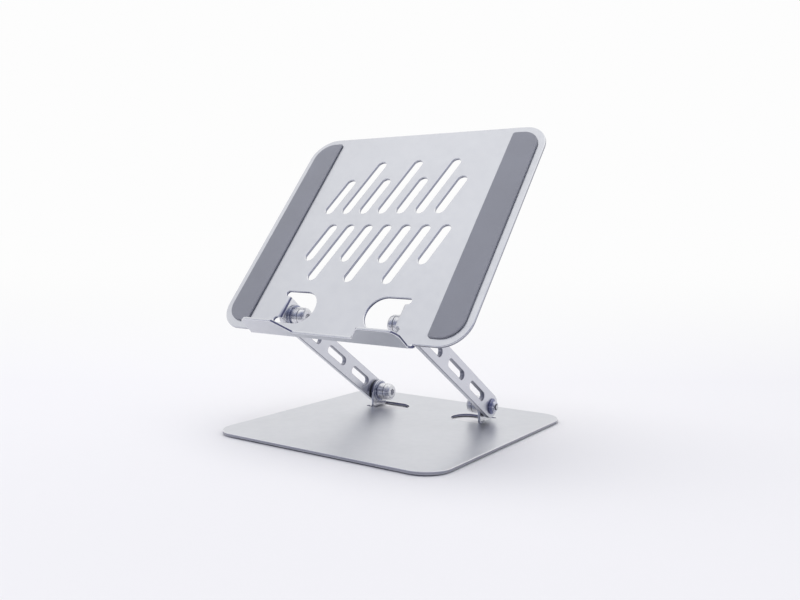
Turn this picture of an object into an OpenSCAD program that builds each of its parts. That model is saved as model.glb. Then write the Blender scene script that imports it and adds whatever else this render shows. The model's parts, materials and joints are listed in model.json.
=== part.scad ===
// Folding laptop stand: a flat base plate, two slotted arms on friction hinges, and a
// slotted tray with two front lips and two grip pads.
// Rest pose, millimetres. The origin is the middle of the footprint, on the floor.
// +X is the user's right, +Y points to the back, +Z is up.

/* [Base plate] */
// Width of the base plate
base_w = 237; // [200:1:280]
// Depth of the base plate
base_d = 232; // [190:1:280]
// Radius of the base plate's corners
base_corner_r = 24; // [8:1:40]
// Sheet thickness of the base plate
base_t = 2.5; // [2:0.5:4]
// Half width of the holes that the base ears are bent up from
base_window_half = 15; // [13:0.5:20]
// Distance of the base hinges behind the middle of the base
base_pivot_y = 59; // [30:1:80]

/* [Foot strips] */
// Thickness of the rubber foot strips
foot_t = 1; // [0.5:0.5:3]
// Width of the foot strips
foot_w = 12; // [6:1:18]
// Length of the front and back strips
foot_len_front = 156; // [80:2:170]
// Length of the side strips
foot_len_side = 148; // [80:2:160]
// Distance of the strips from the plate's edge
foot_inset = 1.5; // [0.5:0.5:4]

/* [Arms] */
// Distance between the two pivots of an arm
arm_len = 154.6; // [135:0.2:190]
// Angle of the arms above the horizontal
arm_rise = 34.7; // [10:0.1:60]
// Width of an arm
arm_w = 22; // [18:1:22]
// Thickness of an arm
arm_t = 4.5; // [3:0.5:6]
// Number of slots in an arm
arm_slots = 3; // [1:1:3]
// Distance from one arm slot to the next
arm_slot_pitch = 44; // [38:1:44]
// Length of an arm slot
arm_slot_len = 30.5; // [16:0.5:34]
// Width of an arm slot
arm_slot_w = 8; // [5:0.5:10]

/* [Hinges] */
// Distance between the outer faces of the left and right ears
hinge_span = 126; // [118:1:134]
// Height of the lower pivots over the base plate
base_pivot_h = 13.8; // [13.4:0.1:18]
// Distance of the upper pivots from the tray's top face
tray_pivot_h = 15; // [14.5:0.5:18]
// Radius of the ears round the pivot
ear_r = 11; // [9.5:0.5:11.5]
// Inside radius of the fold at an ear
bend_r = 0.5; // [0.5:0.5:2]
// Gap between the tips of the two ear windows
window_gap = 55; // [45:1:65]
// Reach of the relief notches past the ear's outer face
notch_reach = 4; // [3:0.5:6]
// Diameter of the bolt's shoulder
bolt_d = 8; // [6:0.5:8]
// Diameter of the bolt's thread
thread_d = 6; // [4:0.5:6]
// Length of thread that shows past the nut
thread_show = 1.3; // [0.5:0.1:3]
// Diameter of the bolt's domed head
head_d = 16.4; // [13:0.2:18]
// Length of the bolt's head
head_len = 6.6; // [5:0.1:8]
// Length of the dome on the head
head_dome_len = 4; // [2:0.5:4.5]
// Diameter of the flat end face of the dome
head_face_d = 9.6; // [9.4:0.2:12]
// Width across the flats of the socket in the head
socket_af = 6; // [4:0.5:8]
// Depth of the socket in the head
socket_depth = 2.6; // [1:0.1:3]
// Outer diameter of the spring cup
cup_d = 16.6; // [15:0.2:18]
// Length of the spring cup
cup_len = 7.2; // [5:0.2:10]
// Wall and floor thickness of the spring cup
cup_wall = 1.5; // [1:0.1:2]
// Number of disc springs in a cup
disc_count = 6; // [2:2:8]
// Sheet thickness of a disc spring
disc_t = 0.55; // [0.3:0.05:0.6]
// Diameter of the two large washers beside each ear
washer_d = 20; // [17:0.5:21]
// Thickness of the steel thrust washer
thrust_t = 1.6; // [1:0.1:2.5]
// Thickness of the friction washer between ear and arm
friction_t = 1.5; // [1:0.1:2.5]
// Diameter of the small washer under the nut
nut_washer_d = 14.8; // [13:0.2:16]
// Thickness of the small washer under the nut
nut_washer_t = 0.8; // [0.5:0.1:1.5]
// Width across the flats of the lock nut
nut_af = 10; // [9:0.5:11]
// Length of the lock nut
nut_len = 3.8; // [3:0.1:6]
// Diameter of the nut's flange
nut_flange_d = 13.6; // [12:0.2:14.4]
// Thickness of the nut's flange
nut_flange_t = 1.1; // [0.8:0.1:1.4]
// Wall thickness of the bush in the arm
bush_wall = 1.5; // [1:0.1:2]

/* [Tray] */
// Width of the tray
tray_w = 260; // [240:1:300]
// Length of the tray from its bottom edge to its top edge
tray_len = 229; // [220:1:260]
// Sheet thickness of the tray
tray_t = 2.5; // [2:0.5:3]
// Radius of the tray's corners
tray_corner_r = 25; // [10:1:35]
// Angle of the tray above the horizontal
tray_tilt = 50.2; // [20:0.1:53]
// Distance of the tray's pivots from its bottom edge
pivot_v = 25.5; // [23:0.1:28]
// Half width of the windows that the tray ears are bent down from
tray_window_half = 16.5; // [14:0.5:18]

/* [Front lips] */
// Width of the flange that carries the lips
flange_w = 166; // [140:1:180]
// Height of the flange between the lips
flange_h = 7.1; // [6:0.1:12]
// Height of the lips over the tray
lip_h = 22.5; // [15:0.5:30]
// Gap between the lips at the top of the low flange
lip_gap = 63; // [40:1:80]
// Width that each lip's sloping side takes up
lip_slope_w = 13.6; // [6:0.5:18]
// Radius of the lips' outer corners
lip_corner_r = 9; // [1:0.5:12]
// Radius of the lips' inner corners and of the fillets under them
lip_fillet_r = 4; // [1:0.5:4]
// Inside radius of the fold at the tray's bottom edge
flange_bend_r = 2; // [1:0.5:4]
// Flare of the fold's two ends, where they run out into the tray's edge
flange_flare = 4; // [1:0.5:6]

/* [Tray slots] */
// Number of slots in each of the two rows
slot_count = 7; // [3:1:7]
// Distance from one slot to the next
slot_pitch = 20.5; // [15:0.5:21]
// Width of a slot
slot_w = 10; // [5:0.5:11]
// Lean of the slots away from straight up
slot_lean = 15.5; // [0:0.5:20]
// Height of the short slots
slot_short = 42; // [20:0.5:46]
// Height of the long slots
slot_long = 63.5; // [40:0.5:66]
// Gap between the two rows
slot_row_gap = 13; // [6:0.5:20]
// Distance of the gap's middle from the tray's bottom edge
slot_mid_v = 125; // [120:1:130]
// Shift of each row's inner ends against the lean
slot_row_shift = 7.2; // [0:0.1:10]

/* [Grip pads] */
// Width of a grip pad
pad_w = 28; // [15:1:32]
// Thickness of a grip pad
pad_t = 1.6; // [0.8:0.1:3]
// Margin outside a grip pad
pad_margin = 6.5; // [4:0.5:10]
// Margin past the two ends of a grip pad
pad_end_margin = 7; // [4:0.5:10]
// Radius of a grip pad's inner corners
pad_inner_r = 2.5; // [1:0.5:6]

/* [Hidden] */
$fn = 96;
// Radial gap of a part that turns on the bolt.
run_gap = 0.05;
// Radial gap of a part that is pushed into another.
seat_gap = 0.02;
// Radial gap of a loose washer or spring round the bolt.
loose_gap = 0.2;
// Gap between neighbouring disc springs.
disc_gap = 0.04;
// Width and depth of the groove round the spring cup.
cup_groove = 0.4;
// Chamfer on the corners of the lock nut.
nut_chamfer = 1;
// Height of the nut's locking collar over the hexagon.
nut_collar_len = 0.7;
// Inset of the collar from the nut's flats.
nut_collar_inset = 0.5;
// Reach of a cutter past the face that it cuts.
cut = 1;

base_top = foot_t + base_t;
ear_out = hinge_span / 2;
arm_in = ear_out + friction_t;
arm_out = arm_in + arm_t;
nut_in = arm_out + nut_washer_t;
bolt_end = nut_in + nut_len + thread_show;
pivot_z = base_top + base_pivot_h;
top_pivot_y = base_pivot_y - arm_len * cos(arm_rise);
top_pivot_z = pivot_z + arm_len * sin(arm_rise);
lip_half = lip_gap / 2;
flange_half = flange_w / 2;
pad_outer_r = tray_corner_r - pad_margin;
cup_bore_r = cup_d / 2 - cup_wall;
bush_r = bolt_d / 2 + run_gap + bush_wall;
disc_r = cup_bore_r - loose_gap;
disc_pitch = (cup_len - cup_wall) / disc_count;

sheet_colour = [0.80, 0.81, 0.84];
steel_colour = [0.72, 0.73, 0.76];
rubber_colour = [0.40, 0.41, 0.45];
black_colour = [0.12, 0.12, 0.14];
bronze_colour = [0.70, 0.58, 0.36];

// ---- Plane shapes ----

function unit(v) = v / norm(v);

// What lies between corner p, with neighbours a and b, and the circle that rounds it.
module corner_piece(a, p, b, r) {
    to_a = unit(a - p);
    to_b = unit(b - p);
    half = acos(to_a * to_b) / 2;
    centre = p + unit(to_a + to_b) * r / sin(half);
    difference() {
        polygon([p, p + to_a * r / tan(half), centre, p + to_b * r / tan(half)]);
        translate(centre)
            circle(r);
    }
}

// A polygon, listed anticlockwise, with each corner rounded by its own radius.
module rounded_outline(points, radii) {
    n = len(points);
    before = [for (i = [0:n - 1]) points[(i + n - 1) % n]];
    after = [for (i = [0:n - 1]) points[(i + 1) % n]];
    turn = [for (i = [0:n - 1]) cross(points[i] - before[i], after[i] - points[i])];
    difference() {
        polygon(points);
        for (i = [0:n - 1])
            if (radii[i] > 0 && turn[i] > 0)
                corner_piece(before[i], points[i], after[i], radii[i]);
    }
    for (i = [0:n - 1])
        if (radii[i] > 0 && turn[i] < 0)
            corner_piece(before[i], points[i], after[i], radii[i]);
}

// A rectangle from corner low to corner high with one radius at all corners.
module rounded_box_outline(low, high, r) {
    rounded_outline([low, [high.x, low.y], high, [low.x, high.y]], [r, r, r, r]);
}

// A slot outline that runs from the origin along +X, length being between end centres.
module slot_outline(length, width) {
    translate([0, -width / 2])
        square([length, width]);
    circle(width / 2);
    translate([length, 0])
        circle(width / 2);
}

// ---- Sheet-metal features ----

module mirrored_pair() {
    children();
    mirror([1, 0, 0])
        children();
}

// Section of a 90 degree bend of inside radius r about the origin, in the quarter where x
// and y are negative.
module bend_section(t, r) {
    outer = r + t;
    intersection() {
        difference() {
            circle(outer);
            circle(r);
        }
        translate([-outer, -outer])
            square(outer);
    }
}

// The window that one right-hand ear is bent out of: a round inner end, a straight side
// along the fold, and a relief notch past each end of the fold.
module window_outline(half) {
    tip = window_gap / 2;
    fold = ear_out + bend_r;
    notch_w = half - ear_r;
    notch_end = ear_out + notch_reach - notch_w / 2;
    translate([tip + half, 0])
        circle(half);
    translate([tip + half, -half])
        square([fold - tip - half, 2 * half]);
    for (side = [-1, 1])
        translate([ear_out - notch_w, side * (half + ear_r) / 2])
            slot_outline(notch_end - ear_out + notch_w, notch_w);
}

// A right-hand ear of sheet thickness t. The sheet's face that it folds away from is z = 0,
// and the pivot is h above that face.
module ear(t, h) {
    translate([ear_out + bend_r, 0, bend_r])
        rotate([90, 0, 0])
            linear_extrude(2 * ear_r, center = true)
                bend_section(t, bend_r);
    translate([ear_out - t, 0, 0])
        rotate([90, 0, 90])
            linear_extrude(t)
                difference() {
                    union() {
                        translate([-ear_r, bend_r])
                            square([2 * ear_r, h - bend_r]);
                        translate([0, h])
                            circle(ear_r);
                    }
                    translate([0, h])
                        circle(bolt_d / 2 + run_gap);
                }
}

// ---- Places ----

// The tray's own frame: x across, y up the tray from its bottom edge, z out of its top face.
module on_tray() {
    translate([0, top_pivot_y, top_pivot_z])
        rotate([tray_tilt, 0, 0])
            translate([0, -pivot_v, tray_pivot_h])
                children();
}

// A hinge: z runs outwards along the pivot, from the middle plane of the stand.
module at_hinge(side, y, z) {
    mirror([side == "left" ? 1 : 0, 0, 0])
        translate([0, y, z])
            rotate([0, 90, 0])
                children();
}

module base_hinge(side) {
    at_hinge(side, base_pivot_y, pivot_z)
        children();
}

module tray_hinge(side) {
    at_hinge(side, top_pivot_y, top_pivot_z)
        children();
}

// ---- Base ----

module base_plate() {
    color(sheet_colour) {
        translate([0, 0, foot_t])
            linear_extrude(base_t)
                difference() {
                    rounded_box_outline([-base_w, -base_d] / 2, [base_w, base_d] / 2, base_corner_r);
                    mirrored_pair()
                        translate([0, base_pivot_y])
                            window_outline(base_window_half);
                }
        mirrored_pair()
            translate([0, base_pivot_y, base_top])
                ear(base_t, base_pivot_h);
    }
}

// A strip of the given length along x, centred on the origin.
module foot_strip(length) {
    color(rubber_colour)
        linear_extrude(foot_t)
            translate([-(length - foot_w) / 2, 0])
                slot_outline(length - foot_w, foot_w);
}

module foot_strip_across(side) {
    translate([0, side * (base_d / 2 - foot_inset - foot_w / 2), 0])
        foot_strip(foot_len_front);
}

module foot_strip_along(side) {
    translate([side * (base_w / 2 - foot_inset - foot_w / 2), 0, 0])
        rotate([0, 0, 90])
            foot_strip(foot_len_side);
}

// ---- Arms ----

module arm_outline() {
    first = (arm_len - (arm_slots - 1) * arm_slot_pitch - (arm_slot_len - arm_slot_w)) / 2;
    difference() {
        slot_outline(arm_len, arm_w);
        circle(bush_r + seat_gap);
        translate([arm_len, 0])
            circle(bush_r + seat_gap);
        for (i = [0:arm_slots - 1])
            translate([first + i * arm_slot_pitch, 0])
                slot_outline(arm_slot_len - arm_slot_w, arm_slot_w);
    }
}

module arm(side) {
    color(sheet_colour)
        mirror([side == "left" ? 1 : 0, 0, 0])
            translate([arm_in, base_pivot_y, pivot_z])
                rotate([90, 0, 90])
                    linear_extrude(arm_t)
                        rotate(180 - arm_rise)
                            arm_outline();
}

// ---- Tray ----

// Bottom end centre at the origin, leaning to the right as it rises.
module tray_slot_outline(height) {
    rotate(90 - slot_lean)
        slot_outline((height - slot_w) / cos(slot_lean), slot_w);
}

module tray_slot_row() {
    first = -(slot_count - 1) * slot_pitch / 2 - slot_row_shift;
    for (i = [0:slot_count - 1])
        translate([first + i * slot_pitch, (slot_row_gap + slot_w) / 2])
            tray_slot_outline(i % 2 == 0 ? slot_short : slot_long);
}

module tray_sheet_outline() {
    difference() {
        rounded_box_outline([-tray_w / 2, 0], [tray_w / 2, tray_len], tray_corner_r);
        translate([0, slot_mid_v]) {
            tray_slot_row();
            rotate(180)
                tray_slot_row();
        }
        mirrored_pair()
            translate([0, pivot_v])
                window_outline(tray_window_half);
    }
}

// The fold along the tray's bottom edge, whose ends flare out towards the tray's underside.
module flange_fold() {
    outer = flange_bend_r + tray_t;
    flare_half = flange_half + flange_flare;
    intersection() {
        translate([-flare_half, 0, flange_bend_r])
            rotate([90, 0, 90])
                linear_extrude(2 * flare_half)
                    bend_section(tray_t, flange_bend_r);
        rotate([90, 0, 0])
            linear_extrude(outer)
                polygon([[-flare_half, -tray_t], [flare_half, -tray_t],
                         [flange_half, flange_bend_r], [-flange_half, flange_bend_r]]);
    }
}

module flange_outline() {
    low = flange_bend_r;
    lip_in = lip_half + lip_slope_w;
    rounded_outline(
        [[-flange_half, low], [flange_half, low], [flange_half, lip_h], [lip_in, lip_h],
         [lip_half, flange_h], [-lip_half, flange_h], [-lip_in, lip_h], [-flange_half, lip_h]],
        [0, 0, lip_corner_r, lip_fillet_r, lip_fillet_r, lip_fillet_r, lip_fillet_r, lip_corner_r]
    );
}

module tray_plate() {
    color(sheet_colour)
        on_tray() {
            translate([0, 0, -tray_t])
                linear_extrude(tray_t)
                    tray_sheet_outline();
            flange_fold();
            translate([0, -flange_bend_r, 0])
                rotate([90, 0, 0])
                    linear_extrude(tray_t)
                        flange_outline();
            mirrored_pair()
                translate([0, pivot_v, -tray_t])
                    mirror([0, 0, 1])
                        ear(tray_t, tray_pivot_h - tray_t);
        }
}

module tray_pad(side) {
    outer = tray_w / 2 - pad_margin;
    color(rubber_colour)
        on_tray()
            mirror([side == "left" ? 1 : 0, 0, 0])
                linear_extrude(pad_t)
                    rounded_outline(
                        [[outer - pad_w, pad_end_margin], [outer, pad_end_margin],
                         [outer, tray_len - pad_end_margin], [outer - pad_w, tray_len - pad_end_margin]],
                        [pad_inner_r, pad_outer_r, pad_outer_r, pad_inner_r]
                    );
}

// ---- Hinge pieces, drawn along z, with ear_t the sheet thickness of the ear ----

function thrust_in(ear_t) = ear_out - ear_t - thrust_t;
function cup_in(ear_t) = thrust_in(ear_t) - cup_len;

module ring(r_out, r_in, length) {
    difference() {
        cylinder(h = length, r = r_out);
        translate([0, 0, -cut])
            cylinder(h = length + 2 * cut, r = r_in);
    }
}

// Head of the bolt: a cylinder with a dome on its free end, which is cut off flat at z = 0.
module bolt_head() {
    head_r = head_d / 2;
    face_r = head_face_d / 2;
    dome_z = (head_r * head_r - face_r * face_r + head_dome_len * head_dome_len) / (2 * head_dome_len);
    intersection() {
        cylinder(h = head_dome_len, r = head_r);
        translate([0, 0, dome_z])
            sphere(sqrt(face_r * face_r + dome_z * dome_z));
    }
    translate([0, 0, head_dome_len])
        cylinder(h = head_len - head_dome_len, r = head_r);
}

// Shoulder bolt: its socket head faces the middle of the stand.
module pivot_bolt(ear_t) {
    head_in = cup_in(ear_t) - head_len;
    shoulder_end = arm_out - run_gap;
    color(steel_colour) {
        difference() {
            translate([0, 0, head_in])
                bolt_head();
            translate([0, 0, head_in - cut])
                cylinder(h = socket_depth + cut, r = socket_af / 2 / cos(30), $fn = 6);
        }
        translate([0, 0, head_in + head_len])
            cylinder(h = shoulder_end - head_in - head_len, r = bolt_d / 2);
        translate([0, 0, shoulder_end])
            cylinder(h = bolt_end - shoulder_end, r = thread_d / 2);
    }
}

// Cup that holds the disc springs, with its floor under the bolt's head.
module spring_cup(ear_t) {
    color(steel_colour)
        translate([0, 0, cup_in(ear_t)])
            difference() {
                cylinder(h = cup_len, r = cup_d / 2);
                translate([0, 0, cup_wall])
                    cylinder(h = cup_len, r = cup_bore_r);
                translate([0, 0, -cut])
                    cylinder(h = cup_len, r = bolt_d / 2 + run_gap);
                translate([0, 0, cup_wall])
                    ring(cup_d / 2 + cut, cup_d / 2 - cup_groove, cup_groove);
            }
}

// Disc springs stacked in pairs, each a flat cone, turned over one after the other.
module disc_springs(ear_t) {
    r_in = bolt_d / 2 + loose_gap;
    rise = disc_pitch - disc_gap - disc_t;
    color(steel_colour)
        translate([0, 0, cup_in(ear_t) + cup_wall])
            for (i = [0:disc_count - 1])
                translate([0, 0, i * disc_pitch + disc_gap / 2])
                    rotate_extrude()
                        polygon(i % 2 == 0
                            ? [[r_in, 0], [disc_r, rise], [disc_r, rise + disc_t], [r_in, disc_t]]
                            : [[r_in, rise], [disc_r, 0], [disc_r, disc_t], [r_in, rise + disc_t]]);
}

module thrust_washer(ear_t) {
    color(steel_colour)
        translate([0, 0, thrust_in(ear_t)])
            ring(washer_d / 2, bolt_d / 2 + loose_gap, thrust_t);
}

module friction_washer() {
    color(black_colour)
        translate([0, 0, ear_out])
            ring(washer_d / 2, bolt_d / 2 + loose_gap, friction_t);
}

module bush() {
    color(bronze_colour)
        translate([0, 0, arm_in])
            ring(bush_r, bolt_d / 2 + run_gap, arm_t);
}

module nut_washer() {
    color(steel_colour)
        translate([0, 0, arm_out])
            ring(nut_washer_d / 2, thread_d / 2 + loose_gap, nut_washer_t);
}

// Flanged lock nut: a hexagon with chamfered corners and a round collar.
module lock_nut() {
    corner_r = nut_af / 2 / cos(30);
    hex_end = nut_len - nut_collar_len;
    color(steel_colour)
        translate([0, 0, nut_in])
            difference() {
                union() {
                    cylinder(h = nut_flange_t, r = nut_flange_d / 2);
                    intersection() {
                        cylinder(h = hex_end, r = corner_r, $fn = 6);
                        rotate_extrude()
                            polygon([[0, 0], [corner_r + cut, 0], [corner_r + cut, hex_end - nut_chamfer],
                                     [nut_af / 2, hex_end], [0, hex_end]]);
                    }
                    cylinder(h = nut_len, r = nut_af / 2 - nut_collar_inset);
                }
                translate([0, 0, -cut])
                    cylinder(h = nut_len + 2 * cut, r = thread_d / 2 + seat_gap);
            }
}

base_plate();
foot_strip_across(-1);  // foot_strip_front
foot_strip_across(1);  // foot_strip_back
foot_strip_along(-1);  // foot_strip_left
foot_strip_along(1);  // foot_strip_right
arm("left");  // arm_left
arm("right");  // arm_right
tray_plate();
tray_pad("left");  // tray_pad_left
tray_pad("right");  // tray_pad_right
base_hinge("left") pivot_bolt(base_t);  // base_bolt_left
base_hinge("right") pivot_bolt(base_t);  // base_bolt_right
tray_hinge("left") pivot_bolt(tray_t);  // tray_bolt_left
tray_hinge("right") pivot_bolt(tray_t);  // tray_bolt_right
base_hinge("left") spring_cup(base_t);  // base_spring_cup_left
base_hinge("right") spring_cup(base_t);  // base_spring_cup_right
tray_hinge("left") spring_cup(tray_t);  // tray_spring_cup_left
tray_hinge("right") spring_cup(tray_t);  // tray_spring_cup_right
base_hinge("left") disc_springs(base_t);  // base_disc_springs_left
base_hinge("right") disc_springs(base_t);  // base_disc_springs_right
tray_hinge("left") disc_springs(tray_t);  // tray_disc_springs_left
tray_hinge("right") disc_springs(tray_t);  // tray_disc_springs_right
base_hinge("left") thrust_washer(base_t);  // base_thrust_washer_left
base_hinge("right") thrust_washer(base_t);  // base_thrust_washer_right
tray_hinge("left") thrust_washer(tray_t);  // tray_thrust_washer_left
tray_hinge("right") thrust_washer(tray_t);  // tray_thrust_washer_right
base_hinge("left") friction_washer();  // base_friction_washer_left
base_hinge("right") friction_washer();  // base_friction_washer_right
tray_hinge("left") friction_washer();  // tray_friction_washer_left
tray_hinge("right") friction_washer();  // tray_friction_washer_right
base_hinge("left") bush();  // base_bush_left
base_hinge("right") bush();  // base_bush_right
tray_hinge("left") bush();  // tray_bush_left
tray_hinge("right") bush();  // tray_bush_right
base_hinge("left") nut_washer();  // base_nut_washer_left
base_hinge("right") nut_washer();  // base_nut_washer_right
tray_hinge("left") nut_washer();  // tray_nut_washer_left
tray_hinge("right") nut_washer();  // tray_nut_washer_right
base_hinge("left") lock_nut();  // base_lock_nut_left
base_hinge("right") lock_nut();  // base_lock_nut_right
tray_hinge("left") lock_nut();  // tray_lock_nut_left
tray_hinge("right") lock_nut();  // tray_lock_nut_right
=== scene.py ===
# %% [markdown]
# # A folding laptop stand
# The stand is a flat base plate, two slotted arms, a slotted tray, and four friction hinges
# that join them, with rubber where it meets the desk and the laptop. All of the sizes are
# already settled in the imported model, so this lesson spends its time on what the eye meets
# next: softened edges, turned and plated hinge parts, a satin silver finish, rubber, and
# light.

# %% Load the frame
import json
import math
import bpy
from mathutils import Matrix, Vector

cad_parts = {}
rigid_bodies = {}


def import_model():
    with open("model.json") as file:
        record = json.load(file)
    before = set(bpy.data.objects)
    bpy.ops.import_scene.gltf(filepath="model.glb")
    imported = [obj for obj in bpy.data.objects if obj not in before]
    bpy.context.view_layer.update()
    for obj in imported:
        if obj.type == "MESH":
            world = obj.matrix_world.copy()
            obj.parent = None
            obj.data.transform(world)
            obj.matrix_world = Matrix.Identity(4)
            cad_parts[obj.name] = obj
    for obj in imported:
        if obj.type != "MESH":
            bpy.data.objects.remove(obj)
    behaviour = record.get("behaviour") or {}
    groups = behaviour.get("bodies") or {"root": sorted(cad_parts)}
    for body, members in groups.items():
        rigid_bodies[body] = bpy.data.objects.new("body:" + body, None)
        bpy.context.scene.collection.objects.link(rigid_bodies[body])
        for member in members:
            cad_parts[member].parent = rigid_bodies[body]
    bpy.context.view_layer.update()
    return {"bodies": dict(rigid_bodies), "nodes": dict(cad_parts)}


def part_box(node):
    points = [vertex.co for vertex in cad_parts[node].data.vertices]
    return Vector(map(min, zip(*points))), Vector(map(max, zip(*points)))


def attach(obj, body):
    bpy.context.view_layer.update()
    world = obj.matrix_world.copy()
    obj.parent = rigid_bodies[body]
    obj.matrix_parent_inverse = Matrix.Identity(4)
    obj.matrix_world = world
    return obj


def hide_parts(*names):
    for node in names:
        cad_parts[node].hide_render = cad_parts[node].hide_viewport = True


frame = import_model()

# %% [markdown]
# ## Camera
# The stand is seen from its front right corner, from two thirds of its height, with a lens
# close to the eye's own view. A camera could be aimed by a tracking constraint. Here it is
# placed by its position and two angles, which are easy to read and to change: how far it is
# turned round the upright axis, and how far it looks down.

# %% Camera
MM = 0.001
CAMERA_PLACE = (0.4417, -0.6199, 0.1874)
CAMERA_TURN = 0.6127
CAMERA_DIP = 0.0913
LENS = 37.69
FILM_WIDTH = 36

camera_data = bpy.data.cameras.new("camera")
camera_data.lens = LENS
camera_data.sensor_width = FILM_WIDTH
camera = bpy.data.objects.new("camera", camera_data)
camera.location = CAMERA_PLACE
camera.rotation_euler = (math.pi / 2 - CAMERA_DIP, 0, CAMERA_TURN)
bpy.context.scene.collection.objects.link(camera)
bpy.context.scene.camera = camera
print("camera", round(Vector(CAMERA_PLACE).length, 3), "m from the middle of the base")

# %% [markdown]
# ## Tools of the bench
# Operators act on whatever is selected, and the loaded nodes start out selected, so each
# step first clears the selection. A fresh material starts with one Principled shader. A
# painted image could colour it, but noise follows any shape without a seam, so every finish
# of the stand is that shader with noise in front of its colour, roughness and bump. A noise
# runs from 0 to 1 but seldom leaves the middle, so its range is first stretched.

# %% Selecting and shading
def clear_selection():
    if bpy.context.object and bpy.context.object.mode != "OBJECT":
        bpy.ops.object.mode_set(mode="OBJECT")
    bpy.ops.object.select_all(action="DESELECT")


def pick(piece):
    clear_selection()
    piece.select_set(True)
    bpy.context.view_layer.objects.active = piece


def select_all_of(piece):
    pick(piece)
    bpy.ops.object.mode_set(mode="EDIT")
    bpy.ops.mesh.select_all(action="SELECT")


print(len(bpy.context.selected_objects), "nodes came selected")
clear_selection()
print(len(bpy.context.selected_objects), "are selected now")

# %% A finish under construction
NOISE_LOW, NOISE_HIGH = 0.3, 0.7


class Finish:
    """A material under construction, with its Principled shader at hand."""

    def __init__(self, name):
        self.material = bpy.data.materials.new(name)
        self.material.use_nodes = True
        self.nodes = self.material.node_tree.nodes
        self.links = self.material.node_tree.links
        self.shader = self.nodes["Principled BSDF"]
        self.place = self.add("ShaderNodeTexCoord").outputs["Object"]

    def add(self, kind, **settings):
        node = self.nodes.new(kind)
        for key, value in settings.items():
            setattr(node, key, value)
        return node

    def set(self, **values):
        for key, value in values.items():
            self.shader.inputs[key.replace("_", " ")].default_value = value

    def stretch(self, scale):
        mapping = self.add("ShaderNodeMapping")
        mapping.inputs["Scale"].default_value = scale
        self.links.new(self.place, mapping.inputs["Vector"])
        return mapping.outputs["Vector"]

    def noise(self, scale, detail, place=None):
        node = self.add("ShaderNodeTexNoise")
        node.inputs["Scale"].default_value = scale
        node.inputs["Detail"].default_value = detail
        self.links.new(place or self.place, node.inputs["Vector"])
        return node.outputs["Fac"]

    def between(self, value, low, high, start=NOISE_LOW, end=NOISE_HIGH):
        node = self.add("ShaderNodeMapRange")
        ends = {"From Min": start, "From Max": end, "To Min": low, "To Max": high}
        for key, number in ends.items():
            node.inputs[key].default_value = number
        self.links.new(value, node.inputs["Value"])
        return node.outputs["Result"]

    def blend(self, value, first, second, start=NOISE_LOW, end=NOISE_HIGH):
        ramp = self.add("ShaderNodeValToRGB")
        ramp.color_ramp.elements[0].position = start
        ramp.color_ramp.elements[1].position = end
        ramp.color_ramp.elements[0].color = (*first, 1)
        ramp.color_ramp.elements[1].color = (*second, 1)
        self.links.new(value, ramp.inputs["Fac"])
        return ramp.outputs["Color"]

    def feed(self, value, socket):
        self.links.new(value, self.shader.inputs[socket])

    def bump(self, height, strength, distance, under=None):
        node = self.add("ShaderNodeBump")
        node.inputs["Strength"].default_value = strength
        node.inputs["Distance"].default_value = distance
        self.links.new(height, node.inputs["Height"])
        if under is not None:
            self.links.new(under, node.inputs["Normal"])
        return node.outputs["Normal"]


print(len(bpy.data.materials), "materials came with the frame")

# %% [markdown]
# ## Satin silver
# Anodised aluminium starts as bead-blasted sheet, so under a lens it is a field of tiny
# dents. They scatter the light, which is why the plate reflects the room as a soft haze.
# The finish is a metal with four noises: two fine ones for the dents and the ripple under
# them, a middle one that moves the roughness a little, and a broad one for the faint clouds
# that handling leaves. The plates and the arms each have their own tone of it, and three
# sisters are for edges and walls. Tumbling leaves each edge of a plate smoother than the
# face, and its lighter tone there is a painted highlight. The walls that the cutter left are
# darker with painted shade, and some walls and folds round the hinges, which see little of
# the room, are darkest, with painted shade and a painted dark reflection.

# %% Satin silver
CLOUD_SCALE, CLOUD_DARK, CLOUD_LIGHT = 14, 0.97, 1.02
WEAR_SCALE, WEAR_SMOOTHER, WEAR_ROUGHER = 160, 0.03, 0.04
RIPPLE_SCALE, RIPPLE_HEIGHT, RIPPLE_SHARE = 900, 0.00002, 0.2
DENT_SCALE, DENT_HEIGHT = 5200, 0.00001


def shade(tone, factor):
    """The tone made lighter or darker, and never brighter than white."""
    return tuple(min(1.0, channel * factor) for channel in tone)


def satin_silver(name, tone, roughness, grain=0.2):
    finish = Finish(name)
    finish.set(Metallic=1.0)
    clouds = finish.noise(CLOUD_SCALE, detail=3)
    colour = finish.blend(clouds, shade(tone, CLOUD_DARK), shade(tone, CLOUD_LIGHT))
    finish.feed(colour, "Base Color")
    wear = finish.noise(WEAR_SCALE, detail=3)
    worn = finish.between(wear, roughness - WEAR_SMOOTHER, roughness + WEAR_ROUGHER)
    finish.feed(worn, "Roughness")
    dents = finish.noise(DENT_SCALE, detail=2)
    ripple = finish.noise(RIPPLE_SCALE, detail=3)
    under = finish.bump(ripple, grain * RIPPLE_SHARE, RIPPLE_HEIGHT)
    finish.feed(finish.bump(dents, grain, DENT_HEIGHT, under), "Normal")
    return finish.material


sheet_silver = satin_silver("sheet_silver", (0.64, 0.65, 0.687), 0.34)
bar_silver = satin_silver("bar_silver", (0.66, 0.67, 0.712), 0.30)
# The edge finish is lighter than the plate: a smoother rubbed edge, with a painted highlight in
# its tone.
edge_and_highlight_silver = satin_silver("edge_and_highlight_silver", (0.76, 0.767, 0.79), 0.22)
# The cut-wall finish is darker than the plate: painted shade for walls that see little light.
painted_shade_silver = satin_silver("painted_shade_silver", (0.33, 0.335, 0.39), 0.30, grain=0.3)
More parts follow.
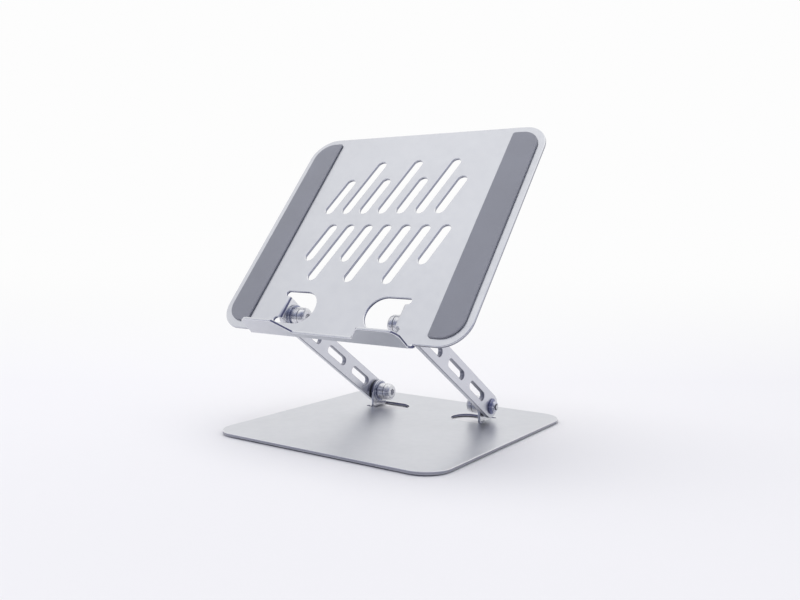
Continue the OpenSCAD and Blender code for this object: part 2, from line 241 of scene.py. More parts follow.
# The deepest finish is darker still: painted shade round the hinges, and a painted dark
# reflection along the folds.
painted_deep_shade_silver = satin_silver("painted_deep_shade_silver", (0.17, 0.175, 0.27), 0.32, grain=0.3)
silvers = (sheet_silver, bar_silver, edge_and_highlight_silver, painted_shade_silver, painted_deep_shade_silver)
print("silver finishes:", [finish.name for finish in silvers])

# %% [markdown]
# ## Turned and plated steel
# Bolts and cups come off a lathe. The tool leaves rings too fine to see one by one, and they
# stretch each highlight across the part. A noise that changes quickly along the hinge's axis
# and slowly round it gives those rings. An anisotropic shader would stretch the highlight
# too, but the noise also lets the rings themselves show close by. The zinc on the nuts is
# bluer. The nuts' flanges and washers are bluer and darker still, a painted reflection of
# the shaded arm beside them. Rims are smoother where they rub, and their brighter tone is a
# painted highlight. A pale finish paints light inside the key's socket, and a dark one
# paints shade in the gap behind the bolt head and round the thread's tip.

# %% Hinge metals
RING_STRETCH, RING_HEIGHT = (9000, 150, 150), 0.00002
RING_SMOOTH, RING_ROUGH = 0.8, 1.35
SPOT_SCALE, SPOT_DARK = 420, 0.86
SPOT_START, SPOT_END = 0.35, 0.6


def turned_steel(name, tone, roughness, ring_depth):
    finish = Finish(name)
    finish.set(Metallic=1.0)
    rings = finish.noise(1.0, detail=3, place=finish.stretch(RING_STRETCH))
    spots = finish.noise(SPOT_SCALE, detail=4)
    colour = finish.blend(spots, shade(tone, SPOT_DARK), tone, SPOT_START, SPOT_END)
    finish.feed(colour, "Base Color")
    ringed = finish.between(rings, roughness * RING_SMOOTH, roughness * RING_ROUGH)
    finish.feed(ringed, "Roughness")
    finish.feed(finish.bump(rings, ring_depth, RING_HEIGHT), "Normal")
    return finish.material


polished_steel = turned_steel("polished_steel", (0.72, 0.725, 0.755), 0.23, 0.12)
washer_steel = turned_steel("washer_steel", (0.34, 0.36, 0.47), 0.26, 0.15)
zinc_steel = turned_steel("zinc_steel", (0.62, 0.63, 0.74), 0.12, 0.15)
# Darker, bluer zinc for the nut washers and the nuts' flange cones: a painted reflection of the
# shaded arm.
painted_reflection_steel = turned_steel("painted_reflection_steel", (0.22, 0.23, 0.36), 0.20, 0.2)
spring_steel = turned_steel("spring_steel", (0.10, 0.10, 0.11), 0.35, 0.2)
bronze = turned_steel("bronze", (0.45, 0.29, 0.12), 0.35, 0.2)
# Rims are smoother where they rub, and their lighter tone is a painted highlight.
rubbed_rim_and_highlight = turned_steel("rubbed_rim_and_highlight", (0.78, 0.79, 0.82), 0.12, 0.1)
zinc_rim = turned_steel("zinc_rim", (0.60, 0.61, 0.68), 0.14, 0.1)
# A dark finish for painted shade in the gap behind the bolt head and round the thread's tip.
painted_shade_steel = turned_steel("painted_shade_steel", (0.07, 0.07, 0.08), 0.30, 0.4)
# A pale finish for painted light inside the key's socket.
painted_light_steel = turned_steel("painted_light_steel", (0.86, 0.86, 0.88), 0.45, 0.2)
print(len(bpy.data.materials), "materials with the silvers and the hinge metals")

# %% [markdown]
# ## Rubber and plastic
# The grip pads are silicone with a fine leather-like grain that keeps a laptop from sliding.
# A little sheen gives the pale bloom that silicone has at a flat angle, and sparse light
# specks are the dust that it always holds. A second noise, cut off near its peaks, scatters
# them. The foot strips are a darker rubber, and the friction washers are a black plastic
# with hardly any grain or dust. Where the frame already has a material of the same name,
# Blender adds .001 to the new one.

# %% Rubber and plastic
BLOOM_SCALE, BLOOM_DARK, BLOOM_LIGHT = 22, 0.93, 1.06
BLOOM_WEAR = 0.05
SPECK_SCALE, SPECK_START, SPECK_END = 2600, 0.69, 0.74
DUST_TONE = (0.62, 0.63, 0.66, 1)
GRAIN_HEIGHT = 0.00005


def rubber(name, tone, roughness, grain_scale, dust, sheen=0.25, grain=0.55):
    finish = Finish(name)
    finish.set(Metallic=0.0, Sheen_Weight=sheen, Sheen_Roughness=0.45)
    clouds = finish.noise(BLOOM_SCALE, detail=3)
    base = finish.blend(clouds, shade(tone, BLOOM_DARK), shade(tone, BLOOM_LIGHT))
    peaks = finish.noise(SPECK_SCALE, detail=1)
    specks = finish.between(peaks, 0.0, dust, SPECK_START, SPECK_END)
    mix = finish.add("ShaderNodeMix", data_type="RGBA")
    finish.links.new(specks, mix.inputs["Factor"])
    finish.links.new(base, mix.inputs["A"])
    mix.inputs["B"].default_value = DUST_TONE
    finish.feed(mix.outputs["Result"], "Base Color")
    worn = finish.between(clouds, roughness - BLOOM_WEAR, roughness + BLOOM_WEAR)
    finish.feed(worn, "Roughness")
    leather = finish.noise(grain_scale, detail=4)
    finish.feed(finish.bump(leather, grain, GRAIN_HEIGHT), "Normal")
    return finish.material


pad_silicone = rubber("pad_silicone", (0.283, 0.290, 0.325), 0.62, 1500, 0.35, grain=0.25)
foot_rubber = rubber("foot_rubber", (0.055, 0.056, 0.065), 0.70, 1200, 0.3)
friction_plastic = rubber(
    "friction_plastic", (0.008, 0.011, 0.030), 0.45, 2400, 0.03, sheen=0.0, grain=0.15)
print("rubbers:", pad_silicone.name, foot_rubber.name, friction_plastic.name)

# %% [markdown]
# ## Sheet-metal pieces
# Nothing made of sheet has a knife edge: the blank is tumbled after cutting, which rounds
# each edge by about half a millimetre, and that thin round is what catches the light. An
# outline could be drawn anew and extruded, but the exact one, with its slots, bends and
# windows, is already in the frame. So each plate is a copy of its node, merged into clean
# faces, with a small bevel on every sharp edge. On the plates the bevel's faces take the
# brighter edge finish, a painted highlight, and on the arms the darker finish of cut walls,
# which is painted shade. Each piece keeps the body of the node that it stands for, and the
# node is hidden.


def stand_for(piece, node):
    """The piece takes the place of a node: its body and its turn to be seen."""
    empty = frame["nodes"][node].parent
    body = next(name for name, holder in frame["bodies"].items() if holder == empty)
    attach(piece, body)
    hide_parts(node)


# %% [markdown]
# ### Telling walls from faces
# A face is a cut wall if it stands square to its sheet and is exactly as wide as the sheet
# is thick. Faces could be picked by hand, but a rule that measures them finds them again
# after any change. Directions are compared by their dot product, which is 1 where a face
# looks straight along a direction and 0 where it stands square to it. The cut walls are
# painted darker as shade. The darkest painted shade goes on the walls of the windows round
# each hinge, the rims of the ears where they see little light, and the slanted ends of the
# lips, and on the round strips above the ears as a painted dark reflection. The flanks of
# the ears take the brighter edge finish, a painted highlight.

# %% Directions and hinge places
PLAIN, EDGE, SHADED_CUT, DEEP_SHADE = range(4)
SHEET = 2.5
ARM_THICKNESS = 4.5
NEARLY_SQUARE = 0.1
MATCH = 0.1
TRAY_TILT = math.radians(50.2)
ACROSS = Vector((1, 0, 0))
UP = Vector((0, 0, 1))
TRAY_UP = Vector((0, math.cos(TRAY_TILT), math.sin(TRAY_TILT)))
TRAY_OUT = Vector((0, -math.sin(TRAY_TILT), math.cos(TRAY_TILT)))


def centre(node):
    low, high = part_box(node)
    return (low + high) / 2


def is_wall(piece, polygon, sheet_normals, thickness):
    """Square to a sheet, and as wide as that sheet is thick."""
    corners = [piece.data.vertices[i].co for i in polygon.vertices]
    for normal in sheet_normals:
        heights = [corner.dot(normal) for corner in corners]
        square = abs(polygon.normal.dot(normal)) < NEARLY_SQUARE
        if square and abs(max(heights) - min(heights) - thickness) < MATCH * MM:
            return True
    return False


BASE_HINGE = centre("base_bolt_right")
TRAY_HINGE = centre("tray_bolt_right")
print("hinges", round((TRAY_HINGE - BASE_HINGE).length / MM, 1), "mm apart")

# %% Walls of the base plate
STRAIGHT_ALONG = 0.99
EAR_INSIDE, EAR_OUTSIDE = 55, 70
BASE_SHADE_X = 72
BASE_SHADE_Y = 20


def is_ear(polygon):
    """The broad sides of the folded ears."""
    sideways = abs(polygon.normal.dot(ACROSS)) > STRAIGHT_ALONG
    return sideways and EAR_INSIDE * MM < abs(polygon.center.x) < EAR_OUTSIDE * MM


def base_wall(piece, polygon):
    if not is_wall(piece, polygon, (UP, ACROSS), SHEET * MM):
        # The ears' flanks take the lighter edge finish: a painted highlight.
        return EDGE if is_ear(polygon) else PLAIN
    place = polygon.center
    beside = abs(place.x) < BASE_SHADE_X * MM
    # Cut walls get painted shade, and those beside a hinge a deeper painted shade.
    return DEEP_SHADE if beside and abs(place.y - BASE_HINGE.y) < BASE_SHADE_Y * MM else SHADED_CUT


print("the base plate's darkest walls lie within", BASE_SHADE_Y, "mm of the hinges' axis")

# %% Walls of the tray
FACING_OUT = 0.9
FOLD_START, FOLD_END = 0.3, 0.75
LEVEL_ACROSS = 0.05
TRAY_SHADE_X = 90
TRAY_SHADE_UP = 20
EAR_LEVEL = 13.5
LOOKING_DOWN = -0.35


def is_slant(polygon):
    """A strip of the round above an ear, or the slanted end of a lip."""
    out = polygon.normal.dot(TRAY_OUT)
    return FOLD_START < out < FOLD_END and abs(polygon.normal.dot(TRAY_UP)) < LEVEL_ACROSS


def tray_wall(piece, polygon):
    if polygon.normal.dot(TRAY_OUT) > FACING_OUT:
        return PLAIN
    if not is_wall(piece, polygon, (TRAY_OUT, TRAY_UP, ACROSS), SHEET * MM):
        # Fold strips and slanted lip ends get the deepest finish: a painted dark reflection and
        # painted shade.
        if is_slant(polygon):
            return DEEP_SHADE
        # The ears' flanks take the lighter edge finish: a painted highlight.
        return EDGE if is_ear(polygon) else PLAIN
    offset = polygon.center - TRAY_HINGE
    up, out = offset.dot(TRAY_UP), offset.dot(TRAY_OUT)
    near = abs(polygon.center.x) < TRAY_SHADE_X * MM and up < TRAY_SHADE_UP * MM
    ear_rim = out < EAR_LEVEL * MM and up > -TRAY_SHADE_UP * MM
    lit = polygon.normal.dot(TRAY_UP) > LOOKING_DOWN
    # Walls near the hinges get the deepest painted shade, unless they are lit ear rims; the rest
    # get lighter painted shade.
    return DEEP_SHADE if near and not (ear_rim and lit) else SHADED_CUT


print("the tray's darkest walls lie less than", TRAY_SHADE_UP, "mm up the tray from the hinges")

# %% Walls of the arms' slots
SLOT_REACH = 7


def off_axis(point, start, end):
    """How far a point stands from the line through two others."""
    line = (end - start).normalized()
    return (point - start).cross(line).length


def arm_wall(piece, polygon):
    start, end = BASE_HINGE.copy(), TRAY_HINGE.copy()
    start.x = end.x = polygon.center.x
    in_slot = off_axis(polygon.center, start, end) < SLOT_REACH * MM
    # Slot walls take the darker cut-wall finish: painted shade.
    return SHADED_CUT if in_slot and is_wall(piece, polygon, (ACROSS,), ARM_THICKNESS * MM) else PLAIN


print("slot walls stand within", SLOT_REACH, "mm of the line between the hinges")

# %% [markdown]
# ### Copies with soft edges
# A copy's edges are rounded by one bevel that takes every sharp edge at once. Weighted
# normals could then even out the shading, as they do on the hinge pieces below. On a plate a
# broad flat face has to shade perfectly flat, or a sliver beside it would catch a stray
# streak of light. So each plane that holds a broad face is found first, and all faces in
# such a plane are shaded flat. Everything else, bevels and round walls, is shaded smooth.
# The pads and the foot strips are made in the same way.

# %% Rounding the sharp edges
SHARP = math.radians(30)


def round_edges(piece, width, steps, rim, clamp=True):
    """Bevels the active piece's sharp edges, and gives the bevels the finish numbered rim."""
    bevel = piece.modifiers.new("soft_edges", "BEVEL")
    bevel.width = width * MM
    bevel.segments = steps
    bevel.limit_method = "ANGLE"
    bevel.angle_limit = SHARP
    bevel.use_clamp_overlap = clamp
    bevel.material = rim
    bpy.ops.object.modifier_apply(modifier=bevel.name)


print("edges sharper than", round(math.degrees(SHARP)), "degrees are rounded")

# %% Copies with soft edges
COPLANAR = math.radians(0.2)
BROAD_AREA = 150 * MM * MM
EDGE_STEPS = 3
WELD = 0.02


def lone_copy(node, name, finishes):
    """A copy of a node that stands alone, with finishes of its own."""
    pick(frame["nodes"][node])
    bpy.ops.object.duplicate()
    piece = bpy.context.object
    piece.name = piece.data.name = name
    piece.parent = None
    for key in list(piece.keys()):
        del piece[key]
    piece.data.materials.clear()
    for finish in finishes:
        piece.data.materials.append(finish)
    return piece


def level_of(polygon):
    """The plane of a face, rounded, so that faces in one plane give the same answer."""
    normal = polygon.normal
    level = polygon.center.dot(normal) / MM
    return (round(normal.x, 2), round(normal.y, 2), round(normal.z, 2), round(level, 1))


def soft_copy(node, name, width, finishes, wall_of=None, weld=WELD):
    """A copy with walls marked and edges rounded; corners closer than weld become one."""
    piece = lone_copy(node, name, finishes)
    select_all_of(piece)
    bpy.ops.mesh.remove_doubles(threshold=weld * MM)
    bpy.ops.mesh.dissolve_limited(angle_limit=COPLANAR)
    bpy.ops.object.mode_set(mode="OBJECT")
    for polygon in piece.data.polygons:
        polygon.material_index = wall_of(piece, polygon) if wall_of else PLAIN
    marked = sum(polygon.material_index > PLAIN for polygon in piece.data.polygons)
    bpy.ops.object.shade_smooth()
    round_edges(piece, width, EDGE_STEPS, min(EDGE, len(finishes) - 1), clamp=False)
    broad = {level_of(polygon) for polygon in piece.data.polygons if polygon.area > BROAD_AREA}
    for polygon in piece.data.polygons:
        polygon.use_smooth = level_of(polygon) not in broad
    stand_for(piece, node)
    print(name, marked, "walls and flanks marked,", len(piece.data.polygons), "faces in the end")


# %% Plates, arms, pads and feet
PLATE_WELD = 0.16
# Plates: bevels take the painted highlight of the edge finish, cut walls painted shade.
plate_finishes = (sheet_silver, edge_and_highlight_silver, painted_shade_silver, painted_deep_shade_silver)
# Arms: bevels and slot walls take the cut-wall finish, painted shade along the edges.
arm_finishes = (bar_silver, painted_shade_silver, painted_shade_silver)
soft_copy("base_plate", "base_sheet", 0.45, plate_finishes, base_wall, PLATE_WELD)
soft_copy("tray_plate", "tray_sheet", 0.55, plate_finishes, tray_wall, PLATE_WELD)
for side in ("left", "right"):
    soft_copy(f"arm_{side}", f"arm_bar_{side}", 0.5, arm_finishes, arm_wall)
    soft_copy(f"tray_pad_{side}", f"grip_pad_{side}", 0.6, (pad_silicone,))
for place in ("front", "back", "left", "right"):
    soft_copy(f"foot_strip_{place}", f"foot_rubber_{place}", 0.3, (foot_rubber,))

# %% [markdown]
# ## Hinge pieces off the lathe
# Each hinge is a stack on one bolt: domed bolt head, spring cup with its disc springs, steel
# thrust washer, the sheet-metal ear, black friction washer, arm, nut washer and lock nut.
# Nearly all of it is round. It could be cylinders with bevels, or a profile spun round an
# axis. Here each piece starts as a circle that is extruded and scaled from ring to ring,
# much as a lathe works along a bar, and it gives even quads that shade cleanly. The places
# and outside diameters come from the frame, so the pieces can't drift away from it.

# %% Where each piece sits along the bolt
def along(part):
    """Inner end, outer end and outside radius of a right-hand hinge piece, in millimetres."""
    low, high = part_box(f"base_{part}_right")
    return low.x / MM, high.x / MM, (high.y - low.y) / 2 / MM


head_in, bolt_end, head_r = along("bolt")
cup_in, cup_out, cup_r = along("spring_cup")
thrust_in, thrust_out, washer_r = along("thrust_washer")
friction_in, friction_out, friction_r = along("friction_washer")
nut_washer_in, nut_washer_out, nut_washer_r = along("nut_washer")
nut_in, nut_out, nut_flange_r = along("lock_nut")
print("bolt from", round(head_in, 2), "to", round(bolt_end, 2), "mm from the middle")

# %% A lathe made of operators
ALONG_X = (0, math.pi / 2, 0)
ROUND = 72
SAME_PLACE = 0.001


def turn(name, profile):
    """Runs a circle through a list of (place, radius), in millimetres along the X axis."""
    place, radius = profile[0]
    clear_selection()
    bpy.ops.mesh.primitive_circle_add(
        vertices=ROUND, radius=radius * MM, location=(place * MM, 0, 0), rotation=ALONG_X)
    bpy.ops.object.transform_apply(location=True, rotation=True, scale=True)
    piece = bpy.context.object
    piece.name = piece.data.name = name
    select_all_of(piece)
    for next_place, next_radius in profile[1:]:
        bpy.ops.mesh.extrude_edges_move(
            TRANSFORM_OT_translate={"value": ((next_place - place) * MM, 0, 0)})
        grow = next_radius / radius
        bpy.ops.transform.resize(value=(1, grow, grow), center_override=(next_place * MM, 0, 0))
        place, radius = next_place, next_radius
    bpy.ops.mesh.select_all(action="SELECT")
    if profile[0] == profile[-1]:
        bpy.ops.mesh.remove_doubles(threshold=SAME_PLACE * MM)
    else:
        bpy.ops.mesh.fill_holes(sides=0)
    bpy.ops.mesh.normals_make_consistent(inside=False)
    bpy.ops.object.mode_set(mode="OBJECT")
    return piece


print("each ring has", ROUND, "corners")

# %% Carving and polishing
BODY, RIM = 0, 1
CORNER_SHARE = 1 / math.cos(math.pi / 6)


def six_sided(name, inner, outer, flats):
    """A hexagonal bar along the X axis, given by its two ends and its width over flats."""
    clear_selection()
    bpy.ops.mesh.primitive_cylinder_add(
        vertices=6, radius=flats / 2 * CORNER_SHARE * MM, depth=(outer - inner) * MM,
        location=((inner + outer) / 2 * MM, 0, 0), rotation=ALONG_X)
    bar = bpy.context.object
    bar.name = bar.data.name = name
    bpy.ops.object.transform_apply(location=True, rotation=True, scale=True)
    return bar


def carve(piece, tool, operation):
    """One boolean with a tool piece, which is then thrown away."""
    boolean = piece.modifiers.new("carve", "BOOLEAN")
    boolean.object = tool
    boolean.operation = operation
    boolean.solver = "EXACT"
    pick(piece)
    bpy.ops.object.modifier_apply(modifier=boolean.name)
    bpy.data.objects.remove(tool)


def polish(piece, width, body, rim, steps=2):
    """Rounds the sharp edges, gives them the rim finish, and smooths the rest."""
    for finish in (body, rim):
        piece.data.materials.append(finish)
    for polygon in piece.data.polygons:
        polygon.material_index = BODY
    pick(piece)
    round_edges(piece, width, steps, RIM)
    bpy.ops.object.shade_smooth()
    weights = piece.modifiers.new("even_shading", "WEIGHTED_NORMAL")
    weights.mode = "FACE_AREA"
    bpy.ops.object.modifier_apply(modifier=weights.name)
    print(piece.name, len(piece.data.polygons), "faces")
    return piece


print("a hexagon's corners stand", round(CORNER_SHARE, 3), "times as far out as its flats")

# %% [markdown]
# ### The shoulder bolt
# Its head is a low dome with a flat at the tip, where a hex key fits. A squashed ball
# would meet the flat at a crease. This dome is a quarter of an ellipse from the flat's edge
# to the head's side, so it runs smoothly into both. The key's socket is a six-sided prism
# cut out of the head. At the other end a short piece of thread stands out of the nut. One
# ridge is enough to show it, and a longer bolt would get more of them. The gap behind the
# head and the cone at the thread's tip take a darker metal, which is painted shade. The
# socket takes a pale metal inside, which is painted light.

# %% Shoulder bolt
FLAT_R = 4.8
DOME = 4.0
DOME_STEPS = 10
GAP = 0.4
GAP_DEPTH = 1.6
HEAD_CHAMFER = 0.35
SHANK_R = 4.0

dome = []
for step in range(DOME_STEPS + 1):
    turned = math.pi / 2 * step / DOME_STEPS
    radius = FLAT_R + (head_r - FLAT_R) * math.sin(turned)
    dome.append((head_in + DOME * (1 - math.cos(turned)), radius))
back = cup_in - GAP
gap_r = head_r - GAP_DEPTH
head = dome + [(back - HEAD_CHAMFER, head_r), (back, head_r - HEAD_CHAMFER),
               (back, gap_r), (cup_in, gap_r), (cup_in, SHANK_R)]
print("bolt head", len(head), "rings")

# %% Thread of the bolt
THREAD_R = 3.0
RIDGE_STEP = 0.5
RIDGE_RISE = 0.25
RIDGE_DEPTH = 0.35
RELIEF = 0.2
CLEAR = 0.05
TIP = 0.8

thread = [(nut_washer_in, SHANK_R), (nut_washer_in, THREAD_R), (nut_out - RELIEF, THREAD_R)]
ridge = nut_out + CLEAR
while ridge < bolt_end - TIP - RELIEF:
    thread += [(ridge, THREAD_R - RIDGE_DEPTH), (ridge + RIDGE_RISE, THREAD_R)]
    ridge += RIDGE_STEP
thread += [(bolt_end - TIP, THREAD_R), (bolt_end, THREAD_R - TIP)]
bolt = turn("bolt", head + thread)
print("thread", len(thread), "rings")

# %% Socket and metals of the bolt
SOCKET = 6.0
SOCKET_DEPTH = 2.6
LEEWAY = 0.3
MARGIN = 0.1
HAIR = 0.01
END_ON = 0.9
DARK, PALE = 2, 3

key = six_sided("key", head_in - SOCKET_DEPTH, head_in + SOCKET_DEPTH, SOCKET)
carve(bolt, key, "DIFFERENCE")
# The bolt's rims take the lighter rim finish, partly wear and partly a painted highlight.
polish(bolt, 0.18, polished_steel, rubbed_rim_and_highlight)
bolt.data.materials.append(painted_shade_steel)
bolt.data.materials.append(painted_light_steel)
# The gap and the thread's tip get painted shade, and the socket painted light.
for polygon in bolt.data.polygons:
    place = polygon.center.x / MM
    out = math.hypot(polygon.center.y, polygon.center.z) / MM
    in_gap = back - MARGIN < place < cup_in + HAIR and out < head_r - LEEWAY
    on_tip = place > bolt_end - TIP and abs(polygon.normal.x) < END_ON
    depth = place - head_in
    in_socket = 2 * MARGIN < depth < SOCKET_DEPTH + MARGIN and out < SOCKET / 2 + LEEWAY
    if in_gap or on_tip:
        polygon.material_index = DARK
    elif in_socket:
        polygon.material_index = PALE

# %% [markdown]
# ### Spring cup and washers
# The cup is a turned steel cap over the disc springs, with a fine groove round it and a
# chamfer at each end, so that a thin dark line parts it from the bolt head and the washer.
# It could be a tube with others cut out of it, but one closed profile gives the groove and
# the chamfers in the same pass: the circle travels out over the top and back through the
# bore, and its last ring is merged with the first.

# %% Spring cup
CUP_FLOOR = 1.5
CUP_WALL = 1.5
BORE = SHANK_R + CLEAR
CHAMFER = 0.4
MOUTH_CHAMFER = 0.15
GROOVE_WIDTH = 0.4
GROOVE_DEPTH = 0.3
groove = cup_in + CUP_FLOOR
hollow_r = cup_r - CUP_WALL

cup = turn("cup", [
    (cup_in, BORE), (cup_in, cup_r - CHAMFER), (cup_in + CHAMFER, cup_r), (groove, cup_r),
    (groove + GROOVE_WIDTH / 2, cup_r - GROOVE_DEPTH), (groove + GROOVE_WIDTH, cup_r),
    (cup_out - MOUTH_CHAMFER, cup_r), (cup_out, cup_r - MOUTH_CHAMFER), (cup_out, hollow_r),
    (cup_in + CUP_FLOOR, hollow_r), (cup_in + CUP_FLOOR, BORE), (cup_in, BORE)])
polish(cup, 0.1, polished_steel, rubbed_rim_and_highlight)


# %% Washers
def washer(name, inner, outer, radius, bore, width, body, rim):
    section = [(inner, bore), (inner, radius), (outer, radius), (outer, bore), (inner, bore)]
    return polish(turn(name, section), width, body, rim, steps=EDGE_STEPS)


thrust_washer = washer(
    "thrust_washer", thrust_in, thrust_out, washer_r, BORE, 0.25, washer_steel, rubbed_rim_and_highlight)
friction_washer = washer(
    "friction_washer", friction_in, friction_out, friction_r, BORE, 0.3,
    friction_plastic, friction_plastic)
# The nut washer wears the darker, bluer zinc: a painted reflection.
nut_washer = washer(
    "nut_washer", nut_washer_in, nut_washer_out, nut_washer_r, THREAD_R + 0.02, 0.2,
    painted_reflection_steel, painted_reflection_steel)

# %% [markdown]
# ### Flange lock nut
# The nut is a hexagon on a thin cone-topped flange, with a round collar that grips the
# thread. The hexagon's corners are turned off at the top, in curves that a bevel along its
# edges wouldn't give. So the six-sided bar is first trimmed by a chamfered round, then the
# flange and the collar are joined to it, and the hole is bored.

# %% Lock nut
NUT = 10.0
SEAT = 0.2
CROWN = 1.0
COLLAR = 0.7
COLLAR_R = NUT / 2 - 0.5
FLANGE = 2.2
FLANGE_RIM = 0.6
NUT_CHAMFER = 0.3
HOLE_R = THREAD_R + 0.03
OVERLAP = 0.5
SPARE = 1
SLOPING = 0.4
CONE = 2

hex_out = nut_out - COLLAR
corner_r = NUT / 2 * CORNER_SHARE
crown = [(nut_in, corner_r + SPARE), (hex_out - CROWN, corner_r + LEEWAY),
         (hex_out + HAIR, NUT / 2 - 0.25)]
flange = [(nut_in, nut_flange_r - NUT_CHAMFER), (nut_in + NUT_CHAMFER, nut_flange_r),
          (nut_in + FLANGE_RIM, nut_flange_r), (nut_in + FLANGE, NUT / 2 - NUT_CHAMFER)]
collar = [(hex_out - OVERLAP, COLLAR_R), (nut_out - NUT_CHAMFER, COLLAR_R),
          (nut_out, COLLAR_R - NUT_CHAMFER)]
hole = [(nut_in - SPARE, HOLE_R), (nut_out + SPARE, HOLE_R)]

nut = six_sided("nut", nut_in + SEAT, hex_out, NUT)
carve(nut, turn("crown", crown), "INTERSECT")
carve(nut, turn("flange", flange), "UNION")
carve(nut, turn("collar", collar), "UNION")
carve(nut, turn("hole", hole), "DIFFERENCE")
polish(nut, 0.12, zinc_steel, zinc_rim)
nut.data.materials.append(painted_reflection_steel)
# The flange's cone takes the darker, bluer zinc: a painted reflection.
for polygon in nut.data.polygons:
    if polygon.center.x < (nut_in + FLANGE) * MM and abs(polygon.normal.x) > SLOPING:
        polygon.material_index = CONE

# %% [markdown]
# ### One of each on every hinge
# Each piece was made on the X axis at the right-hand place along it, so a right-hand copy
# only moves to its hinge's axis. A left-hand copy is first turned half round the upright
# axis, as a fitter would turn it in the hand, since a mirror would leave it inside out. The
# hexagons never line up from hinge to hinge, so each copy is also rolled a little round its
# own bolt.

# %% Copies on the hinges
ROLL = {"base_right": 0.0, "base_left": 0.35, "tray_right": 0.75, "tray_left": 0.2}
PIECES = {"bolt": bolt, "spring_cup": cup, "thrust_washer": thrust_washer,
          "friction_washer": friction_washer, "nut_washer": nut_washer, "lock_nut": nut}


def fit(part, pattern, hinge, side):
    """Copies a pattern onto the hinge that a node names, in place of that node."""
    node = f"{hinge}_{part}_{side}"
    middle = centre(node)
    pick(pattern)
    bpy.ops.object.duplicate(linked=False)
    piece = bpy.context.object
    piece.name = piece.data.name = f"{node}_turned"
    select_all_of(piece)
    roll = ROLL[f"{hinge}_{side}"]
    bpy.ops.transform.rotate(value=roll, orient_axis="X", center_override=(0, 0, 0))
    if side == "left":
        bpy.ops.transform.rotate(value=math.pi, orient_axis="Z", center_override=(0, 0, 0))
    bpy.ops.transform.translate(value=(0, middle.y, middle.z))
    bpy.ops.object.mode_set(mode="OBJECT")
    stand_for(piece, node)


for hinge in ("base", "tray"):
    for side in ("left", "right"):
        for part, pattern in PIECES.items():
            fit(part, pattern, hinge, side)
for pattern in PIECES.values():
    bpy.data.objects.remove(pattern)
print(4 * len(PIECES), "hinge pieces fitted")

# %% [markdown]
# ### What is out of sight
# The bronze bushes in the arms and the disc springs in the cups are only seen when the stand
# is taken apart. Their exact solids are fine as they are, and only need their metal.

# %% Bushes and springs
for hinge in ("base", "tray"):
    for side in ("left", "right"):
        for part, metal in (("bush", bronze), ("disc_springs", spring_steel)):
            hidden = frame["nodes"][f"{hinge}_{part}_{side}"]
            hidden.data.materials.clear()
            hidden.data.materials.append(metal)
print("hidden pieces wear", bronze.name, "and", spring_steel.name)

# %% [markdown]
# ## The studio
# A pale floor runs away into a white background, and the light comes from all round and
# above, as in a tent. A curved sweep of paper would hide the horizon from every side. A flat
# floor is simpler: the farther it lies behind the stand, the more of its paper gives way to
# a plain glow as bright as the background, so the camera sees no line where they meet. From
# other sides the floor's far edge does show.

# %% Floor
FLOOR_SIZE = 24
PAPER = (0.855, 0.847, 0.859, 1)
WHITE = (0.982, 0.982, 0.982, 1)
FADE_START, FADE_END = 0.22, 4.2
FADE_POWER = -8.9

clear_selection()
bpy.ops.mesh.primitive_plane_add(size=FLOOR_SIZE, location=(0, 0, 0))
floor = bpy.context.object
floor.name = "floor"
paper = Finish("floor_paper")
paper.set(Roughness=0.9, Specular_IOR_Level=0.1, Base_Color=PAPER)
behind = paper.add("ShaderNodeVectorMath", operation="DOT_PRODUCT")
behind.inputs[1].default_value = (-math.sin(CAMERA_TURN), math.cos(CAMERA_TURN), 0)
paper.links.new(paper.place, behind.inputs[0])
fade = paper.between(behind.outputs["Value"], 0, FADE_POWER, FADE_START, FADE_END)
share = paper.add("ShaderNodeMath", operation="EXPONENT")
paper.links.new(fade, share.inputs[0])
glow = paper.add("ShaderNodeEmission")
glow.inputs["Color"].default_value = WHITE
mix = paper.add("ShaderNodeMixShader")
paper.links.new(share.outputs["Value"], mix.inputs["Fac"])
paper.links.new(glow.outputs["Emission"], mix.inputs[1])
paper.links.new(paper.shader.outputs["BSDF"], mix.inputs[2])
paper.links.new(mix.outputs["Shader"], paper.nodes["Material Output"].inputs["Surface"])
floor.data.materials.append(paper.material)
print("floor", round(floor.dimensions.x), "m wide")

# %% [markdown]
# ### The room
# Polished round parts show whatever stands about them. In a room that is white all over they
# would look like plaster, so the side towards the viewer is dimmer and cooler. Lamps and
# cards could be set up for that, but one ramp from the dim side to the bright side does it
# smoothly. The ceiling is a little brighter still. The lens itself sees plain white paper on
# every side.

# %% Room
BRIGHT_SIDE = (-0.35, 0.8, 0.45)
DIM_AT, DUSK_AT, WHITE_AT = 0.10, 0.42, 0.63
DIM = (0.16, 0.165, 0.23, 1)
DUSK = (0.34, 0.37, 0.51, 1)

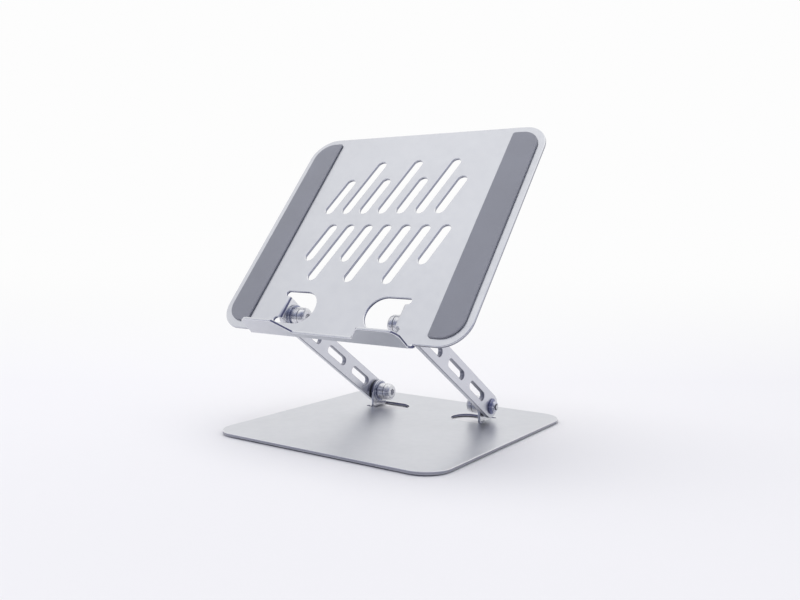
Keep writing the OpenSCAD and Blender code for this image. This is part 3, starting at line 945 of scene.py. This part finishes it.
world = bpy.data.worlds.new("studio")
bpy.context.scene.world = world
world.use_nodes = True
sky = world.node_tree.nodes
wires = world.node_tree.links
direction = sky.new("ShaderNodeTexCoord").outputs["Generated"]
towards = sky.new("ShaderNodeVectorMath")
towards.operation = "DOT_PRODUCT"
towards.inputs[1].default_value = BRIGHT_SIDE
wires.new(direction, towards.inputs[0])
spread = sky.new("ShaderNodeMapRange")
spread.inputs["From Min"].default_value = -1.0
spread.inputs["From Max"].default_value = 1.0
wires.new(towards.outputs["Value"], spread.inputs["Value"])
ramp = sky.new("ShaderNodeValToRGB")
wires.new(spread.outputs["Result"], ramp.inputs["Fac"])
tones = ramp.color_ramp.elements
tones[0].position, tones[0].color = DIM_AT, DIM
tones[1].position, tones[1].color = WHITE_AT, WHITE
tones.new(DUSK_AT).color = DUSK
room = sky["Background"]
wires.new(ramp.outputs["Color"], room.inputs["Color"])
print("the room has", len(tones), "tones from dim to white")

# %% Ceiling and background
CEILING = {"From Min": 0.6, "From Max": 0.85, "To Min": 1.0, "To Max": 1.19}

upward = sky.new("ShaderNodeSeparateXYZ")
wires.new(direction, upward.inputs["Vector"])
ceiling = sky.new("ShaderNodeMapRange")
for key, number in CEILING.items():
    ceiling.inputs[key].default_value = number
wires.new(upward.outputs["Z"], ceiling.inputs["Value"])
wires.new(ceiling.outputs["Result"], room.inputs["Strength"])
backdrop = sky.new("ShaderNodeBackground")
backdrop.inputs["Color"].default_value = WHITE
seen = sky.new("ShaderNodeLightPath").outputs["Is Camera Ray"]
either = sky.new("ShaderNodeMixShader")
wires.new(seen, either.inputs["Fac"])
wires.new(room.outputs["Background"], either.inputs[1])
wires.new(backdrop.outputs["Background"], either.inputs[2])
wires.new(either.outputs["Shader"], sky["World Output"].inputs["Surface"])
print("ceiling", CEILING["To Max"], "times as bright as the walls")

# %% [markdown]
# ### The lamp above
# One broad lamp hangs over the stand and a little to its left, and gives the soft shadows on
# the floor. A small lamp would draw them hard. It is kept out of reflections, because a
# bright square in every rounded edge would give it away.

# %% Lamp above
LAMP_PLACE = Vector((-0.4, 0.1, 1.6))
LAMP_AIM = Vector((0, 0, 0.1))
LAMP_SIZE = 1.6

light = bpy.data.lights.new("top_light", "AREA")
light.shape = "RECTANGLE"
light.size = light.size_y = LAMP_SIZE
light.energy = 8.5
light.color = (1.0, 0.99, 0.98)
lamp = bpy.data.objects.new("top_light", light)
lamp.location = LAMP_PLACE
lamp.rotation_euler = (LAMP_AIM - LAMP_PLACE).to_track_quat("-Z", "Y").to_euler()
lamp.visible_glossy = False
bpy.context.scene.collection.objects.link(lamp)
bpy.context.scene.view_settings.view_transform = "Standard"
print("lamp", light.energy, "W,", LAMP_SIZE, "m square")
